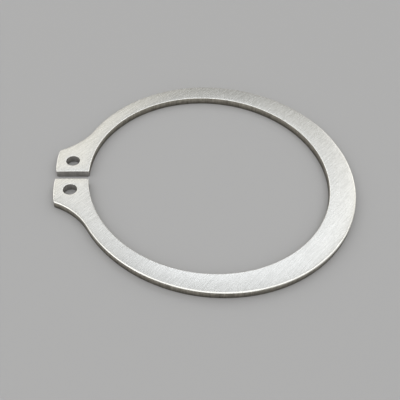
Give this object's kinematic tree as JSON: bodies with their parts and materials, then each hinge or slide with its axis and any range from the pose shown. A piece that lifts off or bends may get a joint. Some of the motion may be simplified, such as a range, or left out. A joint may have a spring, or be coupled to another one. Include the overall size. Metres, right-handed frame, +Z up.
{
  "type": "external retaining ring",
  "caption": "Flat retaining ring of spring steel with a tapered band and two lugs with plier holes beside a narrow gap, which snaps into a groove on a shaft.",
  "frame": {"origin": "on the bore axis, in the plane of the lower face that the ring lies on", "axes": "+Z up along the bore axis, -X towards the gap between the lugs, +X towards the widest part of the band"},
  "size_m": [0.0553, 0.052, 0.0015],
  "materials": {
    "spring_steel": "satin, finely ground in one direction on both flat faces, with bright rounded edges and duller punched walls"
  },
  "bodies": {
    "root": {"retaining_ring": "spring_steel"}
  },
  "joints": []
}
